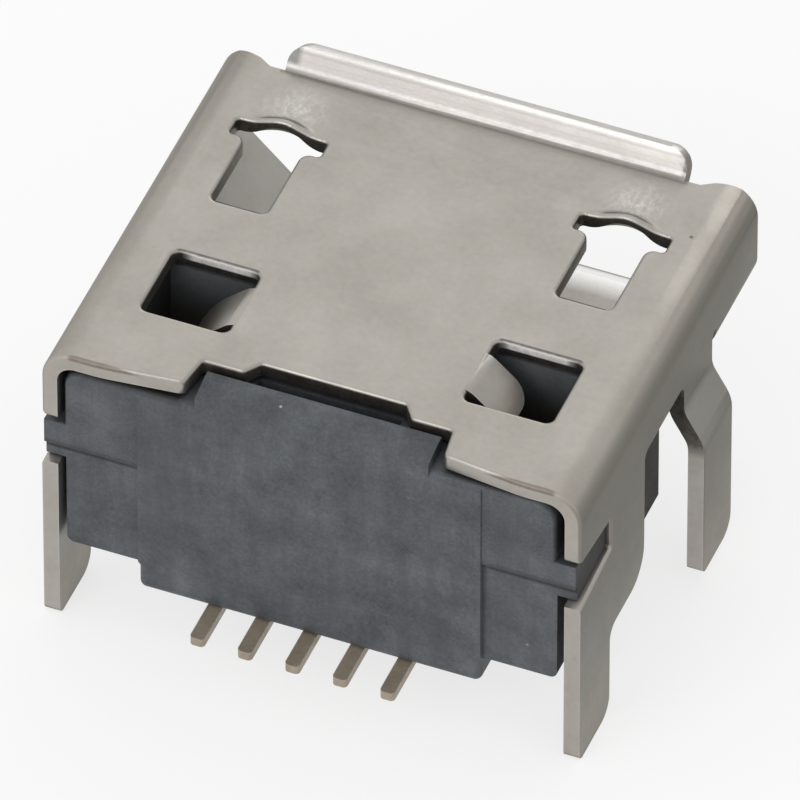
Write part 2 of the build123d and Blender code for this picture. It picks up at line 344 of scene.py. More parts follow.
class EffectKit:
    """Builds each shared node group once and places it in materials."""

    SPECK_CORE = 0.4
    SPECK_CHANCE = 0.8
    DOT_CORE = 0.5
    CUT_FACE_FADE = 0.15
    DRAWN_SCALE = 9.0

    def __init__(self) -> None:
        """Build every group."""
        self.groups: dict[Effect, bpy.types.NodeTree] = {
            Effect.MOTTLE: self._mottle(),
            Effect.GRAIN: self._grain(),
            Effect.SPECKS: self._specks(),
            Effect.EDGE: self._edge(),
            Effect.CREVICE: self._crevice(),
            Effect.CUT_FACE: self._cut_face(),
            Effect.STRETCH: self._stretch(),
            Effect.DRAG: self._drag(),
            Effect.SLAB: self._slab(),
            Effect.FACING: self._facing(),
            Effect.DOT: self._dot(),
        }

    def place(self, wires: Wiring, effect: Effect, **values: float) -> Socket:
        """Put a group into a material.

        Args:
            wires: helper of the material's tree.
            effect: the effect that is wanted.
            values: value of each input, with an underscore for a space.

        Returns:
            The group's one output.
        """
        node = wires.add("ShaderNodeGroup", node_tree=self.groups[effect])
        for name, value in values.items():
            node.inputs[spaced(name)].default_value = value
        return node.outputs[0]

    def _mottle(self) -> bpy.types.NodeTree:
        """Cloudy patches in two sizes.

        Returns:
            The group's node tree.
        """
        group = Group(Effect.MOTTLE, Scale=1.0, Fine_Scale=9.0, Fine_Share=0.4)
        places = group.places()
        coarse = group.noise(places, group.given["Scale"], detail=3.0, rough=0.55)
        fine = group.noise(places, group.given["Fine Scale"], detail=4.0, rough=0.6)
        mixed = group.between(coarse, fine, group.given["Fine Share"])
        return group.end(group.span(mixed, low=0.32, high=0.68))

    def _grain(self) -> bpy.types.NodeTree:
        """Fine lines along the rolling direction of a sheet, over a fine even grain.

        Returns:
            The group's node tree.
        """
        group = Group(Effect.GRAIN, "Height", Scale=10.0, Line_Share=0.5)
        rolled = group.places(stretch=(1.0, 0.06, 1.0))
        lines = group.noise(rolled, group.given["Scale"], detail=2.0, rough=0.5)
        even = group.noise(group.places(), group.given["Scale"], detail=3.0, rough=0.6)
        return group.end(group.between(even, lines, group.given["Line Share"]))

    def _specks(self) -> bpy.types.NodeTree:
        """Scattered small specks of dust, in those cells of a Voronoi pattern whose colour is high.

        Returns:
            The group's node tree.
        """
        group = Group(Effect.SPECKS, Scale=2.0, Radius=0.1)
        radius = group.given["Radius"]
        cells = group.add("ShaderNodeTexVoronoi", feature="F1")
        group.join(group.places(), cells.inputs["Vector"])
        group.join(group.given["Scale"], cells.inputs["Scale"])
        core = group.times(radius, self.SPECK_CORE)
        spot = group.span(cells.outputs["Distance"], core, radius, to_low=1.0, to_high=0.0)
        cell = group.add("ShaderNodeSeparateColor")
        group.join(cells.outputs["Color"], cell.inputs["Color"])
        chosen = group.maths("GREATER_THAN", cell.outputs["Red"], self.SPECK_CHANCE)
        return group.end(group.times(spot, chosen))

    def _edge(self) -> bpy.types.NodeTree:
        """Mask of the worn band along edges, broken up by noise.

        Returns:
            The group's node tree.
        """
        group = Group(Effect.EDGE, Radius=0.05, Break_Scale=6.0)
        bevel = group.add("ShaderNodeBevel", samples=6)
        group.join(group.times(group.given["Radius"], MM), bevel.inputs["Radius"])
        level = group.dot(bevel.outputs["Normal"], group.normal())
        band = group.span(level, low=0.97, high=0.8)
        patchy = group.noise(group.places(), group.given["Break Scale"], detail=3.0, rough=0.6)
        return group.end(group.times(band, group.span(patchy, low=0.35, high=0.6, to_low=0.25)))

    def _crevice(self) -> bpy.types.NodeTree:
        """Mask of narrow gaps and inner corners, where painted shade darkens them.

        Returns:
            The group's node tree.
        """
        group = Group(Effect.CREVICE, Reach=0.25)
        shade = group.add("ShaderNodeAmbientOcclusion", samples=8)
        group.join(group.times(group.given["Reach"], MM), shade.inputs["Distance"])
        return group.end(group.span(shade.outputs["AO"], low=0.12, high=0.7, to_low=1.0, to_high=0.0))

    def _cut_face(self) -> bpy.types.NodeTree:
        """Mask of the steep cut faces inside a box, centred in X, that fades in before its start.

        Returns:
            The group's node tree.
        """
        group = Group(Effect.CUT_FACE, Half_Width=1.0, From=0.0, To=1.0, Above=0.0)
        place = group.parts(group.places())
        rise = group.maths("ABSOLUTE", group.parts(group.normal())["Z"])
        steep = group.span(rise, low=0.2, high=0.6, to_low=1.0, to_high=0.0)
        begin = group.maths("SUBTRACT", group.given["From"], self.CUT_FACE_FADE)
        for limit in (
            group.maths("LESS_THAN", group.maths("ABSOLUTE", place["X"]), group.given["Half Width"]),
            group.span(place["Y"], begin, group.given["From"]),
            group.maths("LESS_THAN", place["Y"], group.given["To"]),
            group.maths("GREATER_THAN", place["Z"], group.given["Above"]),
        ):
            steep = group.times(steep, limit)
        return group.end(steep)

    def _stretch(self) -> bpy.types.NodeTree:
        """Mask of a round patch on each side where the sheet was drawn up, broken into fine marks.

        Returns:
            The group's node tree.
        """
        group = Group(Effect.STRETCH, Aside=1.0, Along=1.0, Radius=0.5)
        place = group.parts(group.places())
        aside = group.maths("SUBTRACT", group.maths("ABSOLUTE", place["X"]), group.given["Aside"])
        along = group.maths("SUBTRACT", place["Y"], group.given["Along"])
        square = group.maths("ADD", group.times(aside, aside), group.times(along, along))
        near = group.span(group.maths("SQRT", square), 0.0, group.given["Radius"], to_low=1.0, to_high=0.0)
        drawn = group.places(stretch=(1.6, 1.0, 1.0))
        marks = group.noise(drawn, self.DRAWN_SCALE, detail=4.0, rough=0.7)
        return group.end(group.times(near, group.span(marks, low=0.42, high=0.66, to_low=0.15)))

    def _drag(self) -> bpy.types.NodeTree:
        """Faint upright streaks that the mould leaves.

        Returns:
            The group's node tree.
        """
        group = Group(Effect.DRAG, Scale=6.0)
        upright = group.places(stretch=(1.0, 1.0, 0.09))
        lines = group.noise(upright, group.given["Scale"], detail=4.0, rough=0.65)
        return group.end(group.span(lines, low=0.36, high=0.66))

    def _slab(self) -> bpy.types.NodeTree:
        """Mask of the layer between two parallel planes; Fold 1 gives its mirror image in X too.

        Returns:
            The group's node tree.
        """
        group = Group(Effect.SLAB, X=0.0, Y=0.0, Z=0.0, From=0.0, To=1.0, Soft=0.01, Fold=0.0)
        level = group.dot(group.fold(group.places()), group.direction())
        soft = group.given["Soft"]
        ends = []
        for name, low, high in (("From", 0.0, 1.0), ("To", 1.0, 0.0)):
            below = group.maths("SUBTRACT", group.given[name], soft)
            above = group.maths("ADD", group.given[name], soft)
            ends.append(group.span(level, below, above, low, high))
        return group.end(group.times(*ends))

    def _facing(self) -> bpy.types.NodeTree:
        """Mask of the faces that look along a direction; Fold 1 gives its mirror image in X too.

        Returns:
            The group's node tree.
        """
        group = Group(Effect.FACING, X=0.0, Y=0.0, Z=0.0, From=0.5, To=0.8, Fold=0.0)
        level = group.dot(group.fold(group.normal()), group.direction())
        return group.end(group.span(level, group.given["From"], group.given["To"]))

    def _dot(self) -> bpy.types.NodeTree:
        """Mask of one small round spot.

        Returns:
            The group's node tree.
        """
        group = Group(Effect.DOT, X=0.0, Y=0.0, Z=0.0, Radius=0.03)
        radius = group.given["Radius"]
        away = group.add("ShaderNodeVectorMath", operation="DISTANCE")
        group.join(group.places(), away.inputs[0])
        group.join(group.direction(), away.inputs[1])
        core = group.times(radius, self.DOT_CORE)
        return group.end(group.span(away.outputs["Value"], core, radius, to_low=1.0, to_high=0.0))


class Surface(Wiring):
    """Material with one Principled shader."""

    def __init__(self, name: str) -> None:
        """Start the material.

        Args:
            name: name of the material.
        """
        self.material = bpy.data.materials.new(name)
        self.material.use_nodes = True
        self.material.node_tree.nodes.clear()
        super().__init__(self.material.node_tree)
        self.shader = self.add("ShaderNodeBsdfPrincipled")
        output = self.add("ShaderNodeOutputMaterial")
        self.join(self.shader.outputs["BSDF"], output.inputs["Surface"])

    def give(self, socket: str, value: Value) -> None:
        """Give one of the shader's sockets an output or a plain value."""
        self.feed(self.shader.inputs[socket], value)

    def stain(self, mask: Value, share: float, colour: Value, other: Colour) -> Socket:
        """Colour that turns to another one where a mask holds.

        Args:
            mask: the mask.
            share: how much of the other colour shows in the middle of the mask.
            colour: output with the colour outside the mask.
            other: the other colour.

        Returns:
            The new colour.
        """
        return self.blend(self.times(mask, share), colour, other)

    def emboss(self, height: Socket, strength: float, distance: float) -> None:
        """Give the shader a bump.

        Args:
            height: output with the height.
            strength: how much of the bump shows.
            distance: size of the bump.
        """
        bump = self.add("ShaderNodeBump")
        bump.inputs["Strength"].default_value = strength
        bump.inputs["Distance"].default_value = distance
        self.join(height, bump.inputs["Height"])
        self.give("Normal", bump.outputs["Normal"])


@dataclass(frozen=True)
class Slab:
    """Layer between two parallel planes, in millimetres along their normal."""

    normal: Triple
    start: float
    end: float
    soft: float = 0.01
    fold: float = 0.0

    def mask(self, kit: EffectKit, wires: Wiring) -> Socket:
        """Mask of the layer.

        Args:
            kit: the shared effects.
            wires: helper of the material's tree.

        Returns:
            The mask.
        """
        x, y, z = self.normal
        ends = {"From": self.start, "To": self.end}
        return kit.place(wires, Effect.SLAB, X=x, Y=y, Z=z, Soft=self.soft, Fold=self.fold, **ends)


@dataclass(frozen=True)
class Facing:
    """Faces that look along a direction, from the cosine where they begin to the one where they are full."""

    direction: Triple
    start: float = 0.55
    full: float = 0.85
    fold: float = 0.0

    def mask(self, kit: EffectKit, wires: Wiring) -> Socket:
        """Mask of the faces.

        Args:
            kit: the shared effects.
            wires: helper of the material's tree.

        Returns:
            The mask.
        """
        x, y, z = self.direction
        ends = {"From": self.start, "To": self.full}
        return kit.place(wires, Effect.FACING, X=x, Y=y, Z=z, Fold=self.fold, **ends)


@dataclass(frozen=True)
class Dot:
    """Small round spot, in millimetres."""

    centre: Triple
    radius: float

    def mask(self, kit: EffectKit, wires: Wiring) -> Socket:
        """Mask of the spot."""
        x, y, z = self.centre
        return kit.place(wires, Effect.DOT, X=x, Y=y, Z=z, Radius=self.radius)


@dataclass(frozen=True)
class Mark:
    """Place with another colour, where all its limits hold."""

    what: str
    colour: Colour
    strength: float
    limits: tuple[Slab | Facing | Dot, ...]
    patchy: float = 0.0
    polish: float = 0.0
    matte: float = 0.0

    def mask(self, kit: EffectKit, wires: Wiring) -> Socket:
        """Mask of the place, broken up where the mark is patchy.

        Args:
            kit: the shared effects.
            wires: helper of the material's tree.

        Returns:
            The mask.
        """
        mask = self.limits[0].mask(kit, wires)
        for limit in self.limits[1:]:
            mask = wires.times(mask, limit.mask(kit, wires))
        if self.patchy:
            broken = kit.place(wires, Effect.MOTTLE, Scale=3.5, Fine_Scale=12.0, Fine_Share=0.6)
            mask = wires.times(mask, wires.span(broken, 0.0, 1.0, to_low=1.0 - self.patchy))
        return mask


def lay_marks(
    marks: tuple[Mark, ...], kit: EffectKit, surface: Surface, colour: Value, rough: Value, metal: Value
) -> tuple[Value, Value, Value]:
    """Lay marks over a surface one after the other.

    Args:
        marks: the marks, in the order in which they cover each other.
        kit: the shared effects.
        surface: the material.
        colour: output with the surface's colour.
        rough: output with its roughness.
        metal: output or number with its share of bare metal.

    Returns:
        The new colour, roughness and share of metal.
    """
    for mark in marks:
        mask = mark.mask(kit, surface)
        colour = surface.stain(mask, mark.strength, colour, mark.colour)
        colour.node.label = mark.what
        if mark.polish:
            rough = surface.times(rough, surface.span(mask, 0.0, 1.0, to_low=1.0, to_high=1.0 - mark.polish))
        if mark.matte:
            metal = surface.times(metal, surface.span(mask, 0.0, 1.0, to_low=1.0, to_high=1.0 - mark.matte))
    return colour, rough, metal


ACROSS = (1.0, 0.0, 0.0)
ALONG = (0.0, 1.0, 0.0)
UP = (0.0, 0.0, 1.0)
REARWARD = (0.0, -1.0, 0.0)
ROUNDED_REAR_EDGE = (0.0, -0.6, 0.8)
LIP_FACE = (0.0, -0.866, 0.5)
LIP_RISE = (0.0, 0.5, 0.866)


def both_sides(start: float, end: float, soft: float = 0.01) -> Slab:
    """Layer between two distances from the middle, on the left and on the right."""
    return Slab(ACROSS, start, end, soft, fold=1.0)


ANYWHERE = Slab(UP, -9.0, 9.0)
SIDEWAYS = Facing(ACROSS, fold=1.0)
LIP_WIDTH = Slab(ACROSS, -2.8, 2.8)
LIP_PLACE = Slab(ALONG, 5.7, 7.0)
LIP_SURFACE = Facing(LIP_FACE)
ABOVE_ROOF = Slab(UP, 3.93, 5.0)
ROOF_EDGE = Slab(UP, 3.8, 4.0)
ROOF_SKIN = Slab(UP, 3.86, 4.0)
REAR_END = Slab(ALONG, -0.1, 0.05)
REAR_TABS = both_sides(1.78, 3.3, 0.03)
HOUSING_REAR = Slab(ALONG, -1.0, 0.3)
POCKETS = (Slab(ALONG, 0.95, 2.5, 0.1), both_sides(1.45, 2.95, 0.1))

SHEET_MARKS = (
    Mark("warm cast", tone(0.46, 0.415, 0.35), 0.22, (ANYWHERE,), patchy=1.0),
    # Painted highlight: the lip's rear face is painted pale, as it catches the light from the rear.
    Mark(
        "lip",
        tone(0.60, 0.565, 0.545),
        0.95,
        (Facing(LIP_FACE, 0.6, 0.9), LIP_PLACE, ABOVE_ROOF),
        patchy=0.4,
    ),
    Mark(
        "upper grey line of the lip",
        tone(0.33, 0.31, 0.30),
        0.6,
        (Slab(LIP_RISE, 6.60, 6.63, 0.012), LIP_SURFACE, LIP_PLACE),
        patchy=0.7,
    ),
    Mark(
        "lower grey line of the lip",
        tone(0.36, 0.33, 0.32),
        0.4,
        (Slab(LIP_RISE, 6.50, 6.52, 0.012), LIP_SURFACE, LIP_PLACE),
        patchy=1.0,
    ),
    Mark(
        "dark right end of the lip",
        tone(0.10, 0.08, 0.065),
        0.75,
        (Slab(ACROSS, 2.69, 2.80, 0.015), Facing(LIP_FACE, 0.5, 0.8), LIP_PLACE, ABOVE_ROOF),
        patchy=0.3,
    ),
    # Painted highlight along the lip's rounded top.
    Mark(
        "painted highlight along the top of the lip",
        tone(0.80, 0.79, 0.76),
        0.9,
        (Slab(LIP_RISE, 6.655, 6.70, 0.012), LIP_SURFACE, LIP_PLACE),
        patchy=0.5,
    ),
    # Painted highlight along the lip's foot.
    Mark(
        "painted highlight along the foot of the lip",
        tone(0.80, 0.78, 0.775),
        0.85,
        (Slab(LIP_RISE, 6.38, 6.43, 0.015), LIP_SURFACE, LIP_PLACE),
        patchy=0.6,
    ),
    # Painted highlight on the lip's upward cut edge.
    Mark(
        "painted highlight on the cut edge of the lip",
        tone(0.80, 0.79, 0.77),
        0.85,
        (Facing(LIP_RISE, 0.7, 0.9), LIP_PLACE, Slab(UP, 4.02, 5.0)),
        patchy=0.3,
    ),
    # Painted dark reflection at the lip's left end.
    Mark(
        "painted dark reflection at the left end of the lip",
        tone(0.17, 0.18, 0.17),
        0.75,
        (Slab(ACROSS, -2.9, -2.58, 0.04), Slab(LIP_RISE, 6.44, 6.9, 0.03), LIP_PLACE, ABOVE_ROOF),
    ),
    # Painted shade in the crease before the lip.
    Mark(
        "painted shade in the crease before the lip",
        tone(0.13, 0.12, 0.11),
        0.5,
        (Slab(ALONG, 5.845, 5.92, 0.02), Slab(UP, 3.88, 3.96), LIP_WIDTH),
        patchy=0.4,
    ),
    # Painted highlight streak on the cut faces at the front of the rear windows.
    Mark(
        "painted highlight streak in the rear windows",
        tone(0.98, 0.97, 0.95),
        0.97,
        (
            Facing(REARWARD, 0.4, 0.7),
            Slab(ALONG, 2.2, 2.4),
            Slab(UP, 3.775, 3.875, 0.01),
            both_sides(1.70, 2.62, 0.08),
        ),
        patchy=0.25,
        polish=0.3,
        matte=0.95,
    ),
    Mark(
        "brown line on the rear tabs",
        tone(0.11, 0.075, 0.05),
        0.75,
        (Facing(REARWARD, 0.3, 0.7), REAR_END, Slab(UP, 3.835, 3.872, 0.008), REAR_TABS),
        patchy=0.4,
    ),
    # Polish at the front of the mouth's floor, partly a painted highlight in a near-white colour.
    Mark(
        "polish and painted highlight at the mouth's floor",
        tone(0.97, 0.97, 0.96),
        0.97,
        (Facing(UP, 0.8, 0.95), Slab(UP, 1.6, 2.1), Slab(ALONG, 5.72, 7.0, 0.2)),
        polish=0.6,
    ),
    # Painted shade band on the rounded raised window edges.
    Mark(
        "painted shade band at the raised window edges",
        tone(0.19, 0.19, 0.21),
        0.6,
        (Slab(ALONG, 4.92, 4.985, 0.02), Slab(UP, 3.92, 4.4), both_sides(1.75, 2.95, 0.05)),
        patchy=0.4,
    ),
    Mark(
        "brown tint of the holding tabs",
        tone(0.34, 0.265, 0.175),
        0.55,
        (Slab(UP, 2.5, 3.6, 0.08), Slab(ALONG, 0.9, 1.9, 0.1), both_sides(1.2, 2.6, 0.05)),
        patchy=0.8,
    ),
    Mark(
        "warm bends",
        tone(0.43, 0.36, 0.295),
        0.3,
        (both_sides(3.3, 3.9, 0.2), Slab(UP, 3.2, 4.0, 0.2)),
        patchy=0.8,
    ),
    # Painted shade on the roof-side half of the rear windows' rounded rim.
    Mark(
        "painted shade on the rim of the rear windows",
        tone(0.06, 0.055, 0.055),
        0.85,
        (
            Facing(ROUNDED_REAR_EDGE, 0.9, 0.97),
            Slab(ALONG, 2.28, 2.36),
            ROOF_EDGE,
            both_sides(1.62, 2.78, 0.03),
        ),
        patchy=0.3,
    ),
    Mark(
        "brown rim of the rear tabs",
        tone(0.14, 0.10, 0.075),
        0.6,
        (Facing(ROUNDED_REAR_EDGE, 0.85, 0.96), REAR_END, ROOF_EDGE, REAR_TABS),
        patchy=0.15,
        matte=0.8,
    ),
    # Painted highlight along the rounded edge of the rear windows.
    Mark(
        "painted highlight on the edge of the rear windows",
        tone(0.66, 0.61, 0.50),
        0.6,
        (Slab(ALONG, 1.10, 1.15, 0.012), ROOF_SKIN, both_sides(1.66, 2.76, 0.05)),
        patchy=0.3,
    ),
    # Painted highlight along the rounded edge of the latch windows.
    Mark(
        "painted highlight on the edge of the latch windows",
        tone(0.66, 0.62, 0.53),
        0.5,
        (Slab(ALONG, 3.295, 3.345, 0.012), ROOF_SKIN, both_sides(2.0, 2.7, 0.05)),
        patchy=0.3,
    ),
    Mark(
        "shaded left holding tab",
        tone(0.05, 0.042, 0.038),
        0.8,
        (Slab(UP, 2.5, 3.58, 0.14), Slab(ALONG, 0.9, 2.3), Slab(ACROSS, -2.7, -1.2)),
    ),
    # Painted cool shade on the side-facing walls.
    Mark(
        "painted cool shade on the side walls",
        tone(0.405, 0.42, 0.395),
        0.6,
        (SIDEWAYS, Slab(UP, 0.2, 3.6, 0.3)),
        patchy=0.4,
    ),
    # Painted shade at the foot of the bends.
    Mark(
        "painted shade at the foot of the bends",
        tone(0.27, 0.27, 0.25),
        0.45,
        (Facing(ACROSS, 0.72, 0.95, fold=1.0), Slab(UP, 3.42, 3.84, 0.1)),
        patchy=0.2,
    ),
    Mark(
        "brown line along the front legs",
        tone(0.27, 0.22, 0.155),
        0.55,
        (SIDEWAYS, Slab(ALONG, 3.5, 3.60, 0.025), Slab(UP, -0.8, 1.7, 0.2)),
        patchy=0.5,
    ),
    # Painted shade on the joggles' rear faces, over their rough cut.
    Mark(
        "painted shade and rough cut at the front legs' joggles",
        tone(0.055, 0.048, 0.042),
        0.85,
        (
            Facing(REARWARD, 0.3, 0.7),
            Slab(ALONG, 3.3, 3.9),
            Slab(UP, 1.6, 2.7, 0.12),
            both_sides(3.4, 4.1),
        ),
        patchy=0.35,
    ),
    Mark("speck on the left bend", tone(0.10, 0.085, 0.07), 0.8, (Dot((-3.57, 2.03, 3.88), 0.035),)),
    Mark("speck on the right bend", tone(0.10, 0.075, 0.06), 0.7, (Dot((3.20, 4.97, 3.90), 0.035),)),
    Mark(
        "glint at the left rear tab",
        tone(0.98, 0.98, 0.96),
        0.95,
        (Dot((-1.79, 0.0, 3.86), 0.08),),
        matte=0.9,
    ),
)

MOULDED_MARKS = (
    # Painted shadow line under the ledges.
    Mark(
        "painted shadow line under the ledges",
        tone(0.006, 0.006, 0.006),
        0.95,
        (Slab(UP, 2.12, 2.3, 0.02), Facing(REARWARD), Slab(ALONG, 0.05, 0.6), both_sides(2.33, 4.0, 0.1)),
        patchy=0.2,
    ),
    # Painted light on the pockets' walls.
    Mark(
        "painted light on the walls of the pockets",
        tone(0.17, 0.18, 0.19),
        0.6,
        (*POCKETS, Slab(UP, 2.2, 3.7)),
        patchy=0.4,
    ),
    # Painted brown shade at the foot of the pockets.
    Mark(
        "painted brown shade at the foot of the pockets",
        tone(0.035, 0.024, 0.014),
        0.8,
        (*POCKETS, Slab(UP, 2.0, 3.05, 0.25)),
        patchy=0.3,
    ),
    # Painted shade on the housing's sides under the shell's walls.
    Mark("painted shade on the housing's sides", tone(0.014, 0.014, 0.012), 0.92, (SIDEWAYS, Slab(ALONG, 1.5, 7.0, 0.1))),
    # Painted shade on the ends of the ribs in the wall slots.
    Mark(
        "painted shade on the ends of the ribs",
        tone(0.016, 0.017, 0.015),
        0.9,
        (SIDEWAYS, Slab(ALONG, -1.0, 1.6, 0.1), both_sides(3.3, 4.0)),
        patchy=0.4,
    ),
    # Painted shadow under the left rear tab.
    Mark(
        "painted shadow under the left rear tab",
        tone(0.006, 0.005, 0.004),
        0.95,
        (Slab(UP, 3.56, 4.2, 0.05), HOUSING_REAR, Slab(ACROSS, -3.6, -1.80, 0.05)),
    ),
    # Painted shadow under the right rear tab.
    Mark(
        "painted shadow under the right rear tab",
        tone(0.006, 0.005, 0.004),
        0.9,
        (Slab(UP, 3.60, 4.2, 0.025), HOUSING_REAR, Slab(ACROSS, 1.72, 3.6, 0.05)),
    ),
    # Painted light: the side steps are painted lighter, over the painted crevice shade.
    Mark(
        "side steps painted lighter over the painted shade",
        tone(0.095, 0.10, 0.11),
        0.85,
        (Facing(ACROSS, 0.3, 0.6, fold=1.0), both_sides(2.2, 2.5, 0.03), Slab(ALONG, -1.0, 0.6)),
    ),
    # Painted shade strip on the left of the rear face.
    Mark(
        "painted shade strip on the left of the rear face",
        tone(0.040, 0.045, 0.050),
        0.4,
        (Slab(ACROSS, -2.4, -1.75, 0.2), Slab(UP, 0.9, 3.6, 0.4), Facing(REARWARD)),
        patchy=0.4,
    ),
    Mark("upper speck of dust", tone(0.55, 0.57, 0.56), 0.8, (Dot((-0.506, 0.269, 3.78), 0.025),)),
    Mark("lower speck of dust", tone(0.45, 0.47, 0.46), 0.8, (Dot((2.906, 0.09, 0.97), 0.04),)),
)


@dataclass(frozen=True)
class Finish:
    """What the finishes share: two tones in patches, their roughness and a grain."""

    name: str
    light: Colour
    dark: Colour
    rough_light: float
    rough_dark: float
    bump_strength: float
    bump_height: float

    def roughness(self, surface: Surface, patches: Socket) -> Socket:
        """Roughness that follows the patches."""
        return surface.span(patches, 0.0, 1.0, self.rough_dark, self.rough_light)

    def close(self, surface: Surface, colour: Value, rough: Value, grain: Socket) -> bpy.types.Material:
        """Give the shader its colour, roughness and bump.

        Args:
            surface: the material.
            colour: its colour.
            rough: its roughness.
            grain: height of its grain.

        Returns:
            The finished material.
        """
        surface.give("Base Color", colour)
        surface.give("Roughness", rough)
        surface.emboss(grain, self.bump_strength, self.bump_height)
        return surface.material


@dataclass(frozen=True)
class SheetFinish(Finish):
    """Satin plated sheet of the shell."""

    name: str = "plated_sheet"
    light: Colour = tone(0.448, 0.427, 0.392)
    dark: Colour = tone(0.370, 0.350, 0.318)
    rough_light: float = 0.30
    rough_dark: float = 0.42
    bump_strength: float = 0.6
    bump_height: float = 0.0035 * MM
    metal: float = 0.85
    rim: Colour = tone(0.46, 0.45, 0.43)
    worn: Colour = tone(0.62, 0.60, 0.57)
    worn_share: float = 0.5
    speck: Colour = tone(0.16, 0.145, 0.125)
    speck_share: float = 0.8
    # Painted highlight on the drawn bumps, laid over their real stretch marks.
    burnish_and_highlight: Colour = tone(0.80, 0.78, 0.75)
    burnish_and_highlight_share: float = 0.75
    # Cut faces in the roof's windows: darker raw cut edges, partly painted shade of the window recesses.
    cut_face_and_shade: Colour = tone(0.075, 0.065, 0.058)
    cut_face_and_shade_share: tuple[float, float] = (0.96, 0.7)
    # Painted shade laid into gaps and inner corners through the crevice mask.
    painted_shade: Colour = tone(0.10, 0.09, 0.08)
    painted_shade_share: float = 0.7
    marks: tuple[Mark, ...] = SHEET_MARKS

    def build(self, kit: EffectKit) -> bpy.types.Material:
        """Build the material.

        Args:
            kit: the shared effects.

        Returns:
            The material.
        """
        surface = Surface(self.name)
        patches = kit.place(surface, Effect.MOTTLE, Scale=1.1, Fine_Scale=11.0, Fine_Share=0.35)
        grain = kit.place(surface, Effect.GRAIN, Scale=24.0, Line_Share=0.55)
        edge = kit.place(surface, Effect.EDGE, Radius=0.05, Break_Scale=5.0)
        specks = kit.place(surface, Effect.SPECKS, Scale=0.55, Radius=0.022)
        stretch = kit.place(surface, Effect.STRETCH, Aside=2.355, Along=5.25, Radius=0.52)
        cut = kit.place(surface, Effect.CUT_FACE, Half_Width=3.2, From=0.32, To=5.0, Above=3.64)
        torn = kit.place(surface, Effect.MOTTLE, Scale=5.0, Fine_Scale=14.0, Fine_Share=0.5)
        crevice = kit.place(surface, Effect.CREVICE, Reach=0.2)
        colour = surface.blend(patches, self.dark, self.light)
        colour = surface.stain(edge, self.worn_share, colour, self.worn)
        colour = surface.stain(specks, self.speck_share, colour, self.speck)
        # Painted highlight on the drawn bumps, over their stretch marks.
        colour = surface.stain(stretch, self.burnish_and_highlight_share, colour, self.burnish_and_highlight)
        # Cut faces darkened: raw cut edges, partly painted shade of the recesses.
        cut = surface.times(cut, surface.span(torn, 0.0, 1.0, *self.cut_face_and_shade_share))
        colour = surface.blend(cut, colour, self.cut_face_and_shade)
        # Painted shade in gaps and inner corners.
        colour = surface.stain(crevice, self.painted_shade_share, colour, self.painted_shade)
        rough = self.roughness(surface, patches)
        colour, rough, metal = lay_marks(self.marks, kit, surface, colour, rough, self.metal)
        surface.give("Metallic", metal)
        surface.give("Specular Tint", self.rim)
        return self.close(surface, colour, rough, grain)


@dataclass(frozen=True)
class MouldedFinish(Finish):
    """Matte black moulded plastic of the housing."""

    name: str = "moulded_black"
    light: Colour = tone(0.120, 0.130, 0.144)
    dark: Colour = tone(0.036, 0.042, 0.049)
    rough_light: float = 0.50
    rough_dark: float = 0.64
    bump_strength: float = 0.7
    bump_height: float = 0.006 * MM
    drawn: Colour = tone(0.050, 0.054, 0.060)
    drawn_share: float = 0.45
    dust: Colour = tone(0.45, 0.47, 0.46)
    # Painted shade laid into gaps and inner corners through the crevice mask.
    painted_shade: Colour = tone(0.010, 0.010, 0.009)
    painted_shade_share: float = 0.6
    marks: tuple[Mark, ...] = MOULDED_MARKS

    def build(self, kit: EffectKit) -> bpy.types.Material:
        """Build the material.

        Args:
            kit: the shared effects.

        Returns:
            The material.
        """
        surface = Surface(self.name)
        patches = kit.place(surface, Effect.MOTTLE, Scale=1.5, Fine_Scale=22.0, Fine_Share=0.4)
        grain = kit.place(surface, Effect.GRAIN, Scale=30.0, Line_Share=0.0)
        drag = kit.place(surface, Effect.DRAG, Scale=7.0)
        specks = kit.place(surface, Effect.SPECKS, Scale=0.8, Radius=0.03)
        crevice = kit.place(surface, Effect.CREVICE, Reach=0.25)
        colour = surface.blend(patches, self.dark, self.light)
        colour = surface.stain(drag, self.drawn_share, colour, self.drawn)
        colour = surface.blend(specks, colour, self.dust)
        # Painted shade in gaps and inner corners.
        colour = surface.stain(crevice, self.painted_shade_share, colour, self.painted_shade)
        rough = self.roughness(surface, patches)
        colour, rough, _ = lay_marks(self.marks, kit, surface, colour, rough, 0.0)
        return self.close(surface, colour, rough, grain)


@dataclass(frozen=True)
class TinFinish(Finish):
    """Dull tinned surface of the contacts."""

    name: str = "tinned_contact"
    light: Colour = tone(0.42, 0.355, 0.275)
    dark: Colour = tone(0.29, 0.24, 0.18)
    rough_light: float = 0.34
    rough_dark: float = 0.5
    bump_strength: float = 0.6
    bump_height: float = 0.004 * MM
    metal: float = 0.35
    worn: Colour = tone(0.62, 0.58, 0.50)
    worn_share: float = 0.6

    def build(self, kit: EffectKit) -> bpy.types.Material:
        """Build the material.

        Args:
            kit: the shared effects.

        Returns:
            The material.
        """
        surface = Surface(self.name)
        patches = kit.place(surface, Effect.MOTTLE, Scale=3.0, Fine_Scale=18.0, Fine_Share=0.4)
        grain = kit.place(surface, Effect.GRAIN, Scale=28.0, Line_Share=0.7)
        edge = kit.place(surface, Effect.EDGE, Radius=0.03, Break_Scale=9.0)
        colour = surface.blend(patches, self.dark, self.light)
        colour = surface.stain(edge, self.worn_share, colour, self.worn)
        surface.give("Metallic", self.metal)
        return self.close(surface, colour, self.roughness(surface, patches), grain)


